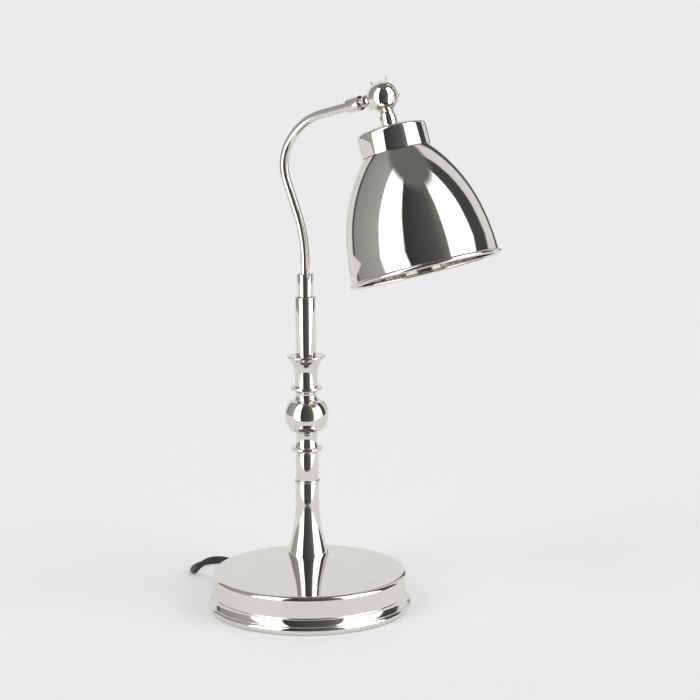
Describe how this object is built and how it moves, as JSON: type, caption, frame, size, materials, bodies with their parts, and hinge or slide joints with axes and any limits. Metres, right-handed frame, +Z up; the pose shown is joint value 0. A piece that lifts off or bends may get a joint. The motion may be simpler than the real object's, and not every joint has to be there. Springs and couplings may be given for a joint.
{
  "type": "dome shade desk lamp",
  "caption": "Desk lamp with a polished dome shade on a ball knuckle, a swan-neck arm on a turned column, a round weighted base and a lead with a rocker switch and plug.",
  "frame": {"origin": "centre of the base underside, on the table", "axes": "+Z up, +X the way the arm reaches at rest, so +Y is the line of the knuckle pivot"},
  "size_m": [0.3845, 0.2771, 0.5533],
  "materials": {
    "nickel": "polished nickel plate",
    "felt": "dense dark felt",
    "iron": "rough casting, painted dark",
    "steel": "zinc-plated, satin",
    "cord": "smooth black sheath, slightly glossy",
    "black_plastic": "fine-grained black moulding",
    "white_insulator": "glazed white insulator",
    "brass": "plain turned brass",
    "bulb_metal": "rolled thread, satin",
    "opal_glass": "white opal glass"
  },
  "bodies": {
    "base": {"felt_pad": "felt", "base_weight": "iron", "base_cover": "nickel", "tie_rod": "steel", "rod_washer": "steel", "rod_nut": "steel", "column_foot": "nickel", "column_ring": "nickel", "column_sleeve": "nickel", "lower_collar": "nickel", "column_ball": "nickel", "upper_collar": "nickel", "column_cup": "nickel", "column_tube": "nickel", "column_ferrule": "nickel", "grub_screw": "steel", "cord_gland": "black_plastic", "flex_base": "cord", "cord_lead": "cord", "cord_link": "cord", "cord_coil": "cord", "switch_base": "black_plastic", "switch_cover": "black_plastic", "switch_screws": "steel", "plug_body": "black_plastic", "plug_pins": "nickel"},
    "arm": {"arm_tube": "nickel", "arm_end_ferrule": "nickel", "knuckle_rear": "nickel", "spring_washer": "steel", "flex_arm": "cord"},
    "clamp_ring": {"clamp_ring": "nickel"},
    "shade": {"knuckle_front": "nickel", "pivot_bolt": "steel", "shade_stem": "nickel", "threaded_nipple": "steel", "nipple_nut": "steel", "collar_cap": "nickel", "shade_dome": "nickel", "shade_clamp": "black_plastic", "lampholder_cap": "black_plastic", "lampholder_skirt": "black_plastic", "lampholder_core": "white_insulator", "centre_contact": "brass", "screw_shell": "brass", "bulb_cap": "bulb_metal", "bulb_glass": "opal_glass", "flex_shade": "cord"},
    "rocker": {"switch_rocker": "black_plastic"}
  },
  "joints": [
    {"name": "arm_swivel", "type": "hinge", "parent": "base", "child": "arm", "pos_m": [-0.0412, 0.0498, 0.3375], "axis": [0, 0, 1], "range_deg": [-170, 170]},
    {"name": "shade_tilt", "type": "hinge", "parent": "arm", "child": "shade", "pos_m": [0.06155, 0.0498, 0.53264], "axis": [0, 1, 0], "range_deg": [-45, 17]},
    {"name": "clamp_ring_turn", "type": "hinge", "parent": "arm", "child": "clamp_ring", "pos_m": [0.06155, 0.0498, 0.53264], "axis": [0, 1, 0], "range_deg": [-15, 0]},
    {"name": "switch_rock", "type": "hinge", "parent": "base", "child": "rocker", "pos_m": [-0.1257, 0.0761, 0.01], "axis": [-0.1736, 0.9848, 0], "range_deg": [-6, 6]}
  ]
}
